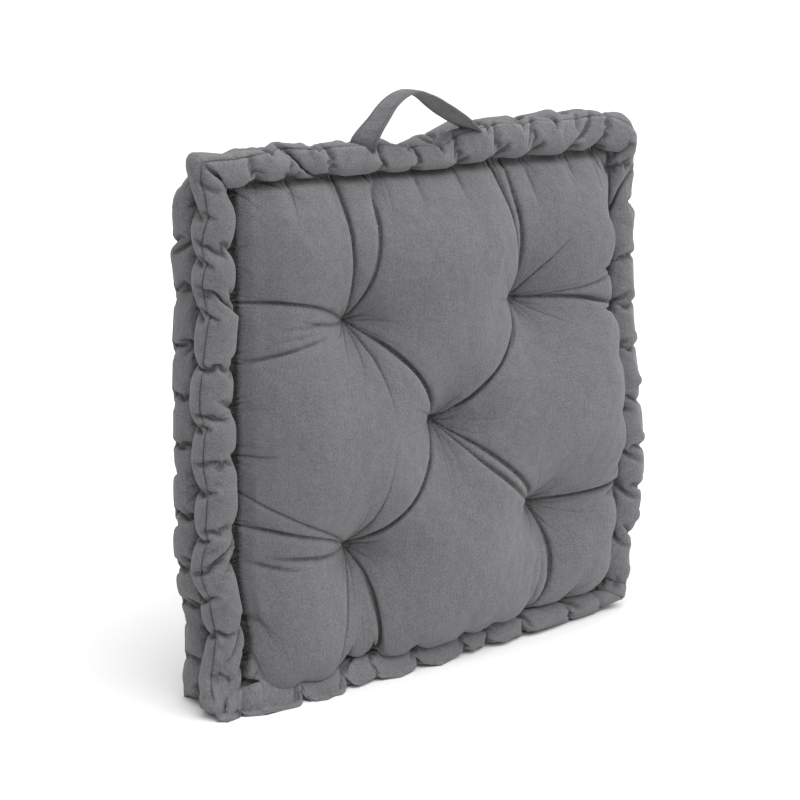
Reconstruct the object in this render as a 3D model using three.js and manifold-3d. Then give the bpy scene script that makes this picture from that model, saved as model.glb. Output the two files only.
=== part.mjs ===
// A square floor cushion with five tufts, hand-rolled edges and a carrying strap, standing on its
// bottom edge. Millimetres, +Z up, the front face towards -Y, the origin on the floor under its centre.
//
// Two face panels and four boxing strips make the cover. Stitching through the cover nips a roll of
// filling along every edge, so each side shows two rolls with a valley between them. Five ties run
// through the core and draw both faces in. The strap's ends are tucked into the top front seam, and
// its loop swings about the line where it leaves the cushion.
import * as THREE from "three";
import { mergeVertices } from "three/addons/utils/BufferGeometryUtils.js";
import Module from "manifold-3d";

const wasm = await Module();
wasm.setup();

// Driving dimensions.
const SIDE = 500; // outside width and height over the rolled edges
const HALF = SIDE / 2;
const CENTRE_Z = HALF;
const BOW = 12; // how far the left and right edges belly out half way up
const FABRIC = 1.5; // cover thickness
const GAP = 0.4; // clearance between pieces that touch in the real cushion
const ROLL_OUT = 15; // half of a roll's size towards the outside
const ROLL_DEEP = 15.5; // half of a roll's size from front to back
const ROLL_AT = HALF - ROLL_OUT; // a roll's centre, out from the cushion's centre
const SEAM_OUT = 244.9; // where a face panel ends at the seam on the roll's crest
const SEAM_START = THREE.MathUtils.degToRad(50); // where the boxing starts, round the roll
const VALLEY_SIDE = THREE.MathUtils.degToRad(158); // where a roll meets the valley in the boxing
const VALLEY_OUT = 239.5; // bottom of that valley
const VALLEY_FACE = 218.5; // valley between a roll and the pillows
const VALLEY_DEEP = 16; // depth of that valley from the middle plane
const CROWN = 54; // furthest a pillow stands from the middle plane
const CROWN_RISE = 100; // distance in from the valley over which a pillow rises
const TUFT_PIT = 38; // radius scale of the pit round a tuft
const TUFT_PULL = 0.9; // share of the crown that a tuft takes away
const TUFTS = [
  { name: "upper_left", x: -89, z: 337 },
  { name: "upper_right", x: 99, z: 337 },
  { name: "centre", x: 7, z: 236 },
  { name: "lower_left", x: -89, z: 136 },
  { name: "lower_right", x: 116, z: 136 },
];
const TIE_RADIUS = 1.2;
const TIE_HOLE = 1.7;
const KNOT_RADIUS = 2.8;
const KNOT_SEAT = 20.6; // where a knot's narrow end meets the face
const KNOT_HEIGHT = 4.2;
const STRAP_WIDTH = 25;
const STRAP_THICK = 2.2;
const STRAP_FEET = [-75, 64]; // middle of each sewn end along X
const STRAP_TUCK = 9; // length of strap held inside the seam
const STRAP_SHOWS = 0.9; // length of sewn end that stands out of the seam
const HINGE_OUT = 2.5; // how far outside the seam the loop bends
const STRAP_ARCH = [
  [-74, 508],
  [-66, 522],
  [-46, 534],
  [-20, 537.5],
  [10, 530],
  [38, 518],
  [58, 508],
];

// Grid lines out from the centre, where the pillows, the valleys and the rolls change direction.
const FIELD_EDGE = 207;
const FIELD_STEP = 22;
const ROLL_LINES = [VALLEY_FACE, 222, 227, 235, 241, SEAM_OUT];
const SIDE_STEPS = 10; // steps along an edge, so that it can bow
const FLOOR_FLAT = 1.2; // how much the bottom rolls are pressed flat

const FABRIC_LOOK = { color: 0x6d6d70, roughness: 0.95, metalness: 0 };
const fabric = new THREE.MeshStandardMaterial(FABRIC_LOOK);
const fibre = new THREE.MeshStandardMaterial({ color: 0xe8e6e0, roughness: 1, metalness: 0 });
const thread = new THREE.MeshStandardMaterial({ color: 0x55555a, roughness: 0.8, metalness: 0 });

const cushion = new THREE.Group();

// The standing cushion bellies out a little at its left and right edges.
function settle(point) {
  point.x *= 1 + (BOW / HALF) * Math.sin((Math.PI * THREE.MathUtils.clamp(point.z, 0, SIDE)) / SIDE);
  return point;
}

// How far a face stands from the middle plane, at x across and z up.
function faceDepth(x, z) {
  const out = Math.max(Math.abs(x), Math.abs(z - CENTRE_Z));
  if (out > VALLEY_FACE) {
    const share = (out - ROLL_AT) / ROLL_OUT;
    return ROLL_DEEP * (1 + Math.sqrt(1 - share * share));
  }
  const rise = (o) => 1 - Math.pow(1 - Math.min((VALLEY_FACE - Math.abs(o)) / CROWN_RISE, 1), 2.5);
  let crown = rise(x) * rise(z - CENTRE_Z);
  for (const tuft of TUFTS) {
    const r = Math.hypot(x - tuft.x, z - tuft.z) / TUFT_PIT;
    crown *= 1 - TUFT_PULL * Math.exp(-r * r);
  }
  return VALLEY_DEEP + (CROWN - VALLEY_DEEP) * crown;
}

// Moves every vertex of a geometry, and turns its faces round if they end up pointing inwards.
function reshape(geometry, place) {
  const at = geometry.getAttribute("position");
  const point = new THREE.Vector3();
  for (let i = 0; i < at.count; i++) {
    place(point.fromBufferAttribute(at, i));
    at.setXYZ(i, point.x, point.y, point.z);
  }
  geometry.deleteAttribute("normal");
  geometry.deleteAttribute("uv");
  const merged = mergeVertices(geometry, 1e-3);
  if (signedVolume(merged) < 0) merged.index.array.reverse();
  return merged;
}

function signedVolume(geometry) {
  const at = geometry.getAttribute("position");
  const index = geometry.index.array;
  const corners = [new THREE.Vector3(), new THREE.Vector3(), new THREE.Vector3()];
  let total = 0;
  for (let i = 0; i < index.length; i += 3) {
    corners.forEach((corner, k) => corner.fromBufferAttribute(at, index[i + k]));
    total += corners[0].dot(corners[1].cross(corners[2]));
  }
  return total / 6;
}

// A box is cut into cells along the same diagonal everywhere. The rolls are mitred at the corners,
// so in two of the four quarters the cells are cut along the other diagonal.
function mitreDiagonals(geometry) {
  const at = geometry.getAttribute("position");
  const index = geometry.index.array;
  for (let i = 0; i < index.length; i += 6) {
    const [a, b, d, , c] = index.slice(i, i + 5);
    const x = at.getX(a) + at.getX(c);
    const z = at.getZ(a) + at.getZ(c);
    const fallsAway = (at.getX(a) - at.getX(c)) * (at.getZ(a) - at.getZ(c)) < 0;
    if (fallsAway === x * z < 0) index.set([a, b, c, a, c, d], i);
  }
  return geometry;
}

// The grid lines over the pillows: through every tuft, a step either side of it, and along the edge.
function fieldLines(centres) {
  const lines = [];
  const keep = (line) => {
    if (lines.every((other) => Math.abs(line - other) > FIELD_STEP / 2.5)) lines.push(line);
  };
  centres.forEach(keep);
  for (const edge of [FIELD_EDGE, FIELD_EDGE - FIELD_STEP]) [edge, -edge].forEach(keep);
  for (const centre of centres) [centre - FIELD_STEP, centre + FIELD_STEP].forEach(keep);
  return lines.sort((a, b) => a - b);
}

function withRolls(lines) {
  return [...ROLL_LINES.map((out) => -out).reverse(), ...lines, ...ROLL_LINES];
}

// A slab over a grid of lines, between two depths from the middle plane.
function faceSlab(columns, rows, near, far) {
  const across = columns.length - 1;
  const up = rows.length - 1;
  const box = mitreDiagonals(new THREE.BoxGeometry(2, 2, 2, across, 1, up));
  return reshape(box, (p) => {
    const x = columns[Math.round(((p.x + 1) / 2) * across)];
    const z = CENTRE_Z + rows[Math.round(((p.z + 1) / 2) * up)];
    settle(p.set(x, p.y < 0 ? near(x, z) : far(x, z), z));
  });
}

// A point on a roll, at an angle round it from the face towards the middle of the boxing.
function onRoll(angle, out, deep) {
  return [ROLL_AT + out * Math.sin(angle), -ROLL_DEEP - deep * Math.cos(angle)];
}

// An outline in (out from the centre, front to back) swept along one edge, mitred at both ends.
function alongEdge(outline, edge) {
  const shape = new THREE.Shape(outline.map(([out, y]) => new THREE.Vector2(out, y)));
  const swept = new THREE.ExtrudeGeometry(shape, { depth: 1, steps: SIDE_STEPS, bevelEnabled: false });
  return reshape(swept, (p) => {
    const out = p.x;
    const y = p.y;
    const along = (2 * p.z - 1) * (out - GAP);
    const lies = edge === "top" || edge === "bottom";
    const outward = edge === "top" || edge === "right" ? out : -out;
    settle(lies ? p.set(along, y, CENTRE_Z + outward) : p.set(outward, y, CENTRE_Z + along));
  });
}

// The boxing's outline: over the front roll, down into the valley and over the back roll, and the
// same again one fabric thickness inside. The bottom strip is pressed flat where it meets the floor.
function boxingOutline(pressed) {
  const steps = 6;
  const arc = (shrink) => {
    const points = [];
    for (let i = 0; i <= steps; i++) {
      const angle = THREE.MathUtils.lerp(SEAM_START, VALLEY_SIDE, i / steps);
      const [out, y] = onRoll(angle, ROLL_OUT + (pressed ? FLOOR_FLAT : 0) - shrink, ROLL_DEEP - shrink);
      points.push([Math.min(out, HALF - shrink), y]);
    }
    return points;
  };
  const mirrored = (points) => points.map(([out, y]) => [out, -y]).reverse();
  const outer = arc(0);
  const inner = arc(FABRIC);
  return [
    ...outer,
    [VALLEY_OUT, 0],
    ...mirrored(outer),
    ...mirrored(inner).reverse(),
    [VALLEY_OUT - FABRIC * 1.3, 0],
    ...inner.slice().reverse(),
  ];
}

function rollOutline() {
  const sides = 10;
  const inset = FABRIC + GAP;
  return Array.from({ length: sides }, (_, i) =>
    onRoll((i / sides) * 2 * Math.PI, ROLL_OUT - inset, ROLL_DEEP - inset),
  );
}

// The seam over the front roll's crest, as seen from the side: a point on it and the way out of it.
const seamPoint = new THREE.Vector2(...onRoll(SEAM_START, ROLL_OUT, ROLL_DEEP).reverse());
const seamOut = new THREE.Vector2(-Math.cos(SEAM_START), Math.sin(SEAM_START));

// A sewn end of the strap: a flat tab that runs straight in through the top front seam.
function strapEnd(x, grow) {
  const thick = STRAP_THICK + 2 * grow;
  const length = STRAP_TUCK + STRAP_SHOWS + 2 * grow;
  const tab = new THREE.BoxGeometry(STRAP_WIDTH + 2 * grow, thick, length);
  return reshape(tab, (p) => {
    const out = p.z + (STRAP_SHOWS - STRAP_TUCK) / 2;
    const y = seamPoint.x + seamOut.x * out + seamOut.y * p.y;
    const z = seamPoint.y + seamOut.y * out - seamOut.x * p.y;
    p.set(x + p.x, y, CENTRE_Z + z);
  });
}

// The loop: at its feet the band lies across the cushion, and it turns on the way up so that at the
// top its flat side faces up.
function strapLoop() {
  const y = seamPoint.x + seamOut.x * HINGE_OUT;
  const z = CENTRE_Z + seamPoint.y + seamOut.y * HINGE_OUT;
  const curve = new THREE.CatmullRomCurve3([
    new THREE.Vector3(STRAP_FEET[0], y, z),
    ...STRAP_ARCH.map(([x, height]) => new THREE.Vector3(x, y, height)),
    new THREE.Vector3(STRAP_FEET[1], y, z),
  ]);
  const steps = 24;
  const turn = 0.4; // share of the length over which the band turns
  const half = STRAP_WIDTH / 2;
  const thick = STRAP_THICK / 2;
  const section = new THREE.Shape([
    new THREE.Vector2(-half, -thick),
    new THREE.Vector2(half, -thick),
    new THREE.Vector2(half, thick),
    new THREE.Vector2(-half, thick),
  ]);
  const swept = new THREE.ExtrudeGeometry(section, { depth: 1, steps, bevelEnabled: false });
  return reshape(swept, (p) => {
    const t = p.z;
    const centre = curve.getPointAt(t);
    const tangent = curve.getTangentAt(t);
    const angle = THREE.MathUtils.smoothstep(Math.min(t, 1 - t), 0, turn) * (Math.PI / 2);
    const sign = t < 0.5 ? 1 : -1;
    const across = new THREE.Vector3(Math.cos(angle) * sign, Math.sin(angle), 0);
    const normal = new THREE.Vector3().crossVectors(tangent, across).normalize();
    p.copy(centre.addScaledVector(across, p.x).addScaledVector(normal, p.y));
  });
}

// A tie: a cord through the whole cushion with a knot at each face.
function tie(tuft) {
  const end = KNOT_SEAT + KNOT_HEIGHT;
  const knot = [
    [0, end],
    [0.6 * KNOT_RADIUS, end - 0.1 * KNOT_HEIGHT],
    [KNOT_RADIUS, end - 0.4 * KNOT_HEIGHT],
    [0.8 * KNOT_RADIUS, end - 0.7 * KNOT_HEIGHT],
    [TIE_RADIUS, KNOT_SEAT],
  ];
  const mirrored = knot.map(([r, y]) => [r, -y]).reverse();
  const profile = [...knot, ...mirrored].reverse().map(([r, y]) => new THREE.Vector2(r, y));
  const lathe = new THREE.LatheGeometry(profile, 8);
  return reshape(lathe, (p) => {
    settle(p.set(p.x + tuft.x, p.y, p.z + tuft.z));
  });
}

function tieHole(tuft) {
  const length = 4 * CROWN;
  return reshape(new THREE.CylinderGeometry(TIE_HOLE, TIE_HOLE, length, 8), (p) => {
    settle(p.set(p.x + tuft.x, p.y, p.z + tuft.z));
  });
}

function solid(geometry) {
  return new wasm.Manifold(
    new wasm.Mesh({
      numProp: 3,
      vertProperties: geometry.getAttribute("position").array,
      triVerts: new Uint32Array(geometry.index.array),
    }),
  );
}

function cut(geometry, tools) {
  let made = solid(geometry);
  for (const tool of tools) made = made.subtract(solid(tool));
  const mesh = made.getMesh();
  return new THREE.BufferGeometry()
    .setAttribute("position", new THREE.BufferAttribute(mesh.vertProperties, 3))
    .setIndex(new THREE.BufferAttribute(mesh.triVerts, 1));
}

function add(name, geometry, material) {
  const mesh = new THREE.Mesh(geometry, material);
  mesh.name = name;
  cushion.add(mesh);
}

const tieHoles = TUFTS.map(tieHole);
const strapSlots = STRAP_FEET.map((x) => strapEnd(x, GAP));
const fieldColumns = fieldLines(TUFTS.map((tuft) => tuft.x));
const fieldRows = fieldLines(TUFTS.map((tuft) => tuft.z - CENTRE_Z));

// Cover: two faces and four boxing strips.
const panelColumns = withRolls(fieldColumns);
const panelRows = withRolls(fieldRows);
const outerFront = (x, z) => -faceDepth(x, z);
const outerBack = (x, z) => faceDepth(x, z);
const frontPanel = faceSlab(panelColumns, panelRows, outerFront, (x, z) => outerFront(x, z) + FABRIC);
const backPanel = faceSlab(panelColumns, panelRows, (x, z) => outerBack(x, z) - FABRIC, outerBack);
add("front_panel", cut(frontPanel, [...tieHoles, ...strapSlots]), fabric);
add("back_panel", cut(backPanel, tieHoles), fabric);
for (const edge of ["top", "bottom", "left", "right"]) {
  const strip = alongEdge(boxingOutline(edge === "bottom"), edge);
  add(edge + "_boxing", edge === "top" ? cut(strip, strapSlots) : strip, fabric);
}

// Filling: the core, and the fibre held in the eight rolls.
const inside = FABRIC + GAP;
const coreFront = (x, z) => outerFront(x, z) + inside;
const coreBack = (x, z) => outerBack(x, z) - inside;
const core = faceSlab(fieldColumns, fieldRows, coreFront, coreBack);
add("filling_core", cut(core, tieHoles), fibre);
for (const edge of ["top", "bottom", "left", "right"]) {
  const front = alongEdge(rollOutline(), edge);
  const back = alongEdge(
    rollOutline().map(([out, y]) => [out, -y]),
    edge,
  );
  add("front_" + edge + "_roll_filling", edge === "top" ? cut(front, strapSlots) : front, fibre);
  add("back_" + edge + "_roll_filling", back, fibre);
}

// Ties.
for (const tuft of TUFTS) add("tuft_tie_" + tuft.name, tie(tuft), thread);

// Carrying strap.
add("strap_end_left", strapEnd(STRAP_FEET[0], 0), fabric);
add("strap_end_right", strapEnd(STRAP_FEET[1], 0), fabric);
add("strap_loop", strapLoop(), fabric);

export default cushion;
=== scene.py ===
"""Looks for the tufted floor cushion: cloth cover, carrying strap, stitching, floor, light and camera.

The cover is simulated as cloth. Half of it, from the middle of the front face to the valley half way
round the side, is a square grid with a band of rings round it. It is cut larger than the shape it
covers, blown up by the filling, and held by the tufts and by the stitches of the rolled edge, so that
it gathers. The back half is the front half turned round. Lengths are in millimetres until a mesh is
made, and the frame is the CAD model's: +X right, -Y to the front, +Z up.
"""

import math

import bpy
import numpy as np
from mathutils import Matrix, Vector

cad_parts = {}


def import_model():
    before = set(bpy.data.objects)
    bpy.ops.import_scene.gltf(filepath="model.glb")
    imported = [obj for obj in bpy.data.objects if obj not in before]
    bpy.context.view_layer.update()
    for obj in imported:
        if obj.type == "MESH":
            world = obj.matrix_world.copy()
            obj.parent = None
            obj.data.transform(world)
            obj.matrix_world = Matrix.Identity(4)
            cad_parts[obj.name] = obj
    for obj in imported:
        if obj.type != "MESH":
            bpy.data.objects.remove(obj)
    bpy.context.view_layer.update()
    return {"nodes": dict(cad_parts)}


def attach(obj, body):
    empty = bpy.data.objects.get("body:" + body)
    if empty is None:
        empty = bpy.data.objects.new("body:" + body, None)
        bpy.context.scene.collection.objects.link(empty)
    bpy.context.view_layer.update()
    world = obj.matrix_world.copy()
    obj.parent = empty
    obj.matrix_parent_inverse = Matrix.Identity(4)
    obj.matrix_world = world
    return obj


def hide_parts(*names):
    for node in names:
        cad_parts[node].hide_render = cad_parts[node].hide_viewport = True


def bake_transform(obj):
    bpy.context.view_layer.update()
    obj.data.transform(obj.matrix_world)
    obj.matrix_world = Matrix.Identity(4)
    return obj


MM = 0.001

# Size of the cushion, as in the CAD model.
HALF = 250.0
ROLL_RADIUS = 15.5
ROLL_AT = HALF - ROLL_RADIUS
VALLEY_OUT = 218.5
VALLEY_DEEP = 16.0
SIDE_VALLEY_OUT = 239.0

# The roll's cross-section, as angles from the front towards the side.
ROLL_FROM = math.radians(-92)
ROLL_TO = math.radians(160)

# Cloth. The grid doubles twice, and the seam is on the same ring share each time.
COARSE_CELLS = 54
COARSE_RINGS = 9
SEAM_RING = 5
CLOTH_SEED = 11
FACE_EXCESS = 1.09
ROLL_EXCESS = 1.12
LEVELS = [
    # steps, passes, pressure in mm per step squared, how stiffly the cloth bends, unevenness in mm
    (420, 3, 0.100, 0.10, 0.8),
    (220, 3, 0.026, 0.04, 0.35),
    (150, 3, 0.0070, 0.012, 0.2),
]
# How much of a wrong length is put right at a time, when it is too long and when it is too short.
THREAD_STIFF = (1.0, 0.8)
BIAS_STIFF = (0.25, 0.1)
DRAG = 0.94
SAG = 0.10  # the cloth's weight, as a share of the pressure
SLUMP = 0.35  # how much harder the filling presses at the floor than at the top
DOME = 18.0  # how far the face stands out to start with
TIGHTENING = 0.35  # the share of the first level's steps in which the stitches are drawn tight
# How far the cloth keeps below the valley, off the roll, off the valley's wall and off the floor.
VALLEY_SLACK = 4.0
ROLL_CLEAR = 0.6
WALL_CLEAR = 0.5
FLOOR_CLEAR = 0.3

TUFTS = {
    "upper_left": (-93, 337),
    "upper_right": (103, 337),
    "centre": (7, 236),
    "lower_left": (-92, 134),
    "lower_right": (120, 138),
}
TUFT_DEPTH = 12.0
TUFT_SQUEEZE = 0.5  # how close a tuft draws the cloth round it
# Stitches of the rolled edge, one row in front and one at the side: where in each pitch a row starts, and
# where it holds the cloth.
STITCH_PITCH = 42.0
STITCH_UNEVEN = 0.16
FRONT_START = 0.45
FRONT_STITCH_OUT = VALLEY_OUT + 3
FRONT_STITCH_DEEP = 15.0
SIDE_START = 0.75
SIDE_STITCH_OUT = SIDE_VALLEY_OUT - 1.5
SIDE_STITCH_DEEP = 3.5
SIDE_STITCH_SHARE = 0.93  # of the way over the roll
STITCH_TIGHT = 1.8  # how far a stitch pulls its half of the roll in
CORNER_AT = 233.0
CORNER_RADIUS = 18.5
TIP_RADIUS = 25.0  # the lower left corner sticks out further
# Folds that run from a tuft to another tuft or to a place near the edge, with how far each bows to the
# left of its way at the middle, and how strong it is at its start and at its end.
FOLDS = [
    ("upper_left", "centre", 7, 1.0, 1.0),
    ("upper_right", "centre", 3, 1.0, 1.0),
    ("centre", "lower_left", 7, 1.0, 1.0),
    ("centre", "lower_right", 7, 1.0, 0.9),
    ("centre", "lower_right", -5, 0.9, 0.7),
    ("upper_left", (-66, 250), 4, 0.8, 0.0),
    ("lower_left", (-66, 236), -4, 0.6, 0.0),
    ("upper_left", (-107, 470), 0, 1.0, 0.6),
    ("upper_left", (-72, 468), -10, 1.0, 0.5),
    ("upper_left", (-224, 363), -9, 0.8, 0.7),
    ("upper_left", (-160, 346), 3, 0.8, 0.0),
    ("upper_right", (70, 474), 5, 1.0, 0.8),
    ("upper_right", (84, 474), 3, 0.8, 0.8),
    ("upper_right", (140, 392), 3, 0.8, 0.0),
    ("upper_right", (215, 308), 10, 1.0, 0.4),
    ("upper_right", (190, 352), -4, 0.7, 0.0),
    ("lower_left", (-224, 212), -8, 0.9, 0.3),
    ("lower_left", (-224, 178), -12, 0.9, 0.6),
    ("lower_left", (-170, 152), 3, 0.7, 0.0),
    ("lower_left", (-70, 30), 8, 1.0, 0.4),
    ("lower_left", (-132, 32), 0, 0.7, 0.0),
    ("lower_right", (108, 28), 13, 1.0, 0.5),
    ("lower_right", (212, 150), 2, 1.0, 0.5),
]
FOLD_WIDTH = 2.4
FOLD_CELLS = 0.6  # a fold's least width, in cells
FOLD_PULL = 3.2
LINE_STEP = 2.0  # between the points of a fold or a crease
# More creases: those that run out of the upper left corner, and those that cross a roll.
CREASES = [
    # start, end, how far it bows, depth
    ((-214, 458), (-186, 434), 2, 3.4),
    ((-202, 468), (-140, 436), 5, 2.2),
    ((-216, 446), (-206, 398), 2, 2.4),
    ((-220, 25), (-262, 13), 2, 5.0),
    ((-206, 470), (-216, 508), 2, 3.5),
    ((-172, 470), (-170, 506), -2, 3.0),
    ((-152, 470), (-158, 512), 3, 3.5),
]

# Creases, in the cloth's own plane. Where two numbers stand together, each crease has its own in between.
CREASE_SEED = 5
FOLD_DEPTH = 5.0
CREASE_WIDTH = 1.05
ROLL_CREASE_WIDTH = CREASE_WIDTH * 1.3
CREASE_EDGE = 1.1  # how sharply a crease falls off across its width
CREASE_FADE = 0.7  # how late it falls off along its length
CREASE_REACH = 5  # in widths
FINE_FROM = 0.3  # the depth that needs the finer grid
# Wrinkles round each tuft, short ones and long ones.
SPOKES = 17
SPOKE_DEPTH = 3.0
SPOKE_SHARE = (0.5, 1.2)
SPOKE_TURN = (-0.35, 0.35)
SPOKE_START = 2.5
SPOKE_SHORT = (16, 30)
SPOKE_LONG = (30, 62)
SPOKE_BOW = (-3, 3)
# Wrinkles at each stitch of the edge: pleats that run in over the pillow, and puckers across the roll.
PLEATS = 4
PLEAT_DEPTH = 2.2
PLEAT_SHARE = (0.4, 1.1)
PLEAT_SHORT = (8, 25)
PLEAT_LONG = (20, 60)
PLEAT_SLIP = (-9, 9)
PLEAT_LEAN = (-14, 14)
PLEAT_LEAN_SHARE = 0.6
PLEAT_BOW = (-2, 2)
PUCKER_DEPTH = 1.7
PUCKER_SHARE = (0.5, 1.2)
PUCKER_SLIP_SHARE = 0.7
PUCKER_FRONT = (0.45, 1.0)
PUCKER_SIDE = (0.35, 0.95)

# Ridges are paler, as wear, and hollows darker, as painted shade, from how far a point stands out of its
# neighbours: how many cells away they are, and the distance that gives full shade.
FACE_SHADE = [(2, 0.85), (6, 4.2)]
ROLL_SHADE = (3, 2.2)
ROLL_SHADE_SHIFT = 0.26
ROLL_SHADE_LEAST = -0.7

# The left and top rolls stand over a gap in front of the pillows, and swell between their stitches.
# The ditch in front of each roll gets a painted shadow.
GAP_WIDTH = 80.0
GAP_HEIGHT = 140.0  # the gap closes below this
DITCH_KEEP = 0.1
# Reach and width of the painted shadow in the ditch beside the rolls.
DITCH_SHADE_REACH = 9.6
DITCH_SHADE_WIDTH = 5.5
GAPS = [
    # how much of the pillow's height is kept beside the roll, the ditch's width, how dark its painted shadow
    # is
    (0.5, 18.0, 1.95),  # left roll
    (0.72, 11.0, 0.9),  # top roll
]
SCALLOP = 5.0
SCALLOP_REACH = 10.0

# Seam round the crest of each roll.
SEAM_RINGS = [
    # rings past the seam, how far it is drawn towards the seam, how far it stands out
    (-2, 0.0, 0.4),
    (-1, 0.6, 0.9),
    (0, 0.0, -1.9),
    (1, 0.6, -0.1),
]
# Painted shade along the seam's groove.
SEAM_SHADE = -0.3

# How the filled cover rests: a foot pressed flat, sides bowed out, and pillows hanging over the roll.
CROWN_FROM = 42.0
CROWN_KEEP = 0.68
FOOT_DROP = 8.0
FOOT_HEIGHT = 40.0
FOOT_DROP_HIGH = (420, 120)
FOOT_SPREAD_HEIGHT = 55.0
LOWEST = 0.2
FOOT_SPREAD = ((-250, -180, -60, 60, 220), (0.45, 0.72, 0.5, 0.3, -0.05))
HANG_FROM = ((-200, 100), (27, 28))
HANG_SHARE = ((-210, -165, -115, 0, 180), (4.2, 2.4, 1.9, 1.48, 0.65))
HANG_HEIGHT = 150.0
HANG_FADE = 20.0  # above the floor
SIDE_HANG_SHARE = (0.2, 1.1)  # on the left and on the right
SIDE_HANG_OUT = (90, 200)
SIDE_HANG_LOW = (0, 70)
SIDE_HANG_HIGH = (530, 330)
CORNER_PUSHES = [
    # middle, how far it goes right, back and up, reach
    ((-238, -32, 3), (-19, 0, 0), 34),
    ((252, -20, 8), (3, 0, 0), 34),
    ((-240, 42, 8), (-2, -14, -6), 28),
    ((-240, 36, 490), (12, 0, -12), 26),
    ((-246, -22, 492), (-23, 0, 11), 27),
    ((240, 0, 495), (3, 0, 10), 38),
]
# The lower left corner in front is square: where its round middle is, and how high it reaches.
SQUARE_CORNER = (-233, -15.5)
SQUARE_HEIGHT = (28.0, 50.0)
# How far the top sinks, in front and behind, at places from left to right.
TOP_SAG_FRONT = ((-240, -205, -80, -30, 15, 60), (0, 7, 8, 14, 12, 0))
TOP_SAG_BACK = ((-240, -205, -50, -6, 30, 58), (0, 12, 12, 17, 10, 0))
TOP_SAG_FROM = 455.0
TOP_SAG_REACH = 40.0
BOW_BEND = 1.5  # how late a bow grows on the way out to the side
BOWS = [
    # side, millimetres, middle height, half height
    (1, 7, 500, 45),
    (1, 23, 150, 125),
    (-1, -3, 270, 140),
    (-1, -5, 365, 45),
    (-1, -9, 500, 75),
    (-1, -10, 70, 40),
    (1, -8, 65, 35),
]

# Strap: its middle line from one sewn end to the other, how far its width turns from left-right
# towards front-back, and how far its front edge then dips, in degrees.
STRAP_WIDTH = 25.0
STRAP_THICK = 2.2
STRAP_ROUTE = [
    (-77, -22, 487, -50, 0),
    (-76, -25, 495, -66, 0),
    (-71, -27, 504, -76, 0),
    (-62, -27, 514, -84, 0),
    (-50, -26, 526, -88, 0),
    (-38, -26, 533.5, -90, 0),
    (-26, -26, 536.6, -92, -5),
    (-13, -26, 532.7, -92, -14),
    (8, -26, 520.7, -92, -18),
    (28, -25, 509.7, -92, -16),
    (45, -21, 500.7, -92, -9),
    (58, -17, 493, -92, 0),
    (64, -14, 486, -92, 0),
]
STRAP_STEPS = 150
STRAP_TURN_EASE = 6  # steps
STITCH_INSET = 2.6
# Half of the strap's cross-section: how far in from its edge, and how thick, over its thickness.
STRAP_PROFILE = [
    (0, 0),
    (0.4, 0.8),
    (STITCH_INSET - 0.8, 1),
    (STITCH_INSET, 0.62),
    (STITCH_INSET + 0.9, 1),
    (0.35 * STRAP_WIDTH, 1.08),
]
# Waves along the strap: size, millimetres to a radian, and start in radians. The first change its width,
# by a share of it, and the last cups it, in millimetres.
STRAP_UNEVEN = [(0.0042, 7.3, 0), (0.003, 3.1, 1)]
STRAP_CUP = (0.5, 19, 0.6)

STITCH_LENGTH = 2.3
STITCH_GAP = 0.9
STITCH_START = 1.0  # from the end of the row
STITCH_RADIUS = 0.3
STITCH_SIDES = 6
STITCH_REST = 0.72  # how high the strap's stitches lie, over half its thickness
# Along a stitch: its thickness and its height, over its radius.
STITCH_SHAPE = [(0.3, -0.9), (0.85, 0.1), (1, 0.5), (1, 0.5), (0.85, 0.1), (0.3, -0.9)]
TUFT_STITCH = 5.0
TUFT_STITCH_SPARE = 2.0
TUFT_STITCH_LIFT = 0.4

COVER_COLOUR = (0.106, 0.105, 0.111, 1)
# Layers of noise: features per millimetre, detail, weight, and any stretch along and across the cloth.
COVER_MOTTLE = [
    (0.02, 3.0, 0.07),
    (0.14, 3.0, 0.10),
    (0.33, 2.0, 0.08),
    (0.55, 2.0, 0.20),
    (1.1, 2.0, 0.30),
    (0.5, 2.0, 0.05, (3.0, 0.35, 1)),
    (0.5, 2.0, 0.05, (0.35, 3.0, 1)),
]
COVER_BUMPS = [(1.1, 3.0, 0.16), (0.22, 2.0, 0.22), (0.05, 1.0, 0.75)]  # weights in mm
COVER_ROUGHNESS = 0.92
ROUGHNESS_CHANGES = [(0.4, 2.0, 0.05)]
# How much the shade attribute makes ridges paler, as wear, and hollows, creases, seams and ditches darker,
# as painted shade.
RIDGE_WEAR_AND_SHADE = 0.15
HOLLOW_PAINTED_SHADE = 0.34
WEAVE_HEIGHT = 0.12
WEAVE_RADIAN = 0.55  # millimetres to a radian of the weave's waves, which are 3.5 mm long
WAVE_RADIANS = 20  # to each unit of Blender's wave texture
THREAD_COLOUR = (0.085, 0.085, 0.091, 1)
THREAD_SHADE = 0.7
THREAD_TWIST = 900.0
FLOOR_COLOUR = (0.74, 0.74, 0.74, 1)
FLOOR_REACH = 40

# Light: the way most of it comes from, how closely, and the strengths from there and from all round.
LIGHT_FROM = (0.12, -0.40, 0.90)
LIGHT_FOCUS = 3.0
LIGHT_STRENGTH = 3.8
SURROUND_STRENGTH = 0.40
# Camera, in degrees and metres, with its lens and sensor in millimetres.
CAMERA_AZIMUTH = -37.78
CAMERA_ELEVATION = 12.84
CAMERA_DISTANCE = 1.9818
CAMERA_LENS = 95.8
CAMERA_SENSOR = 36
CAMERA_TARGET = (-0.0174, 0, 0.249)


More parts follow.
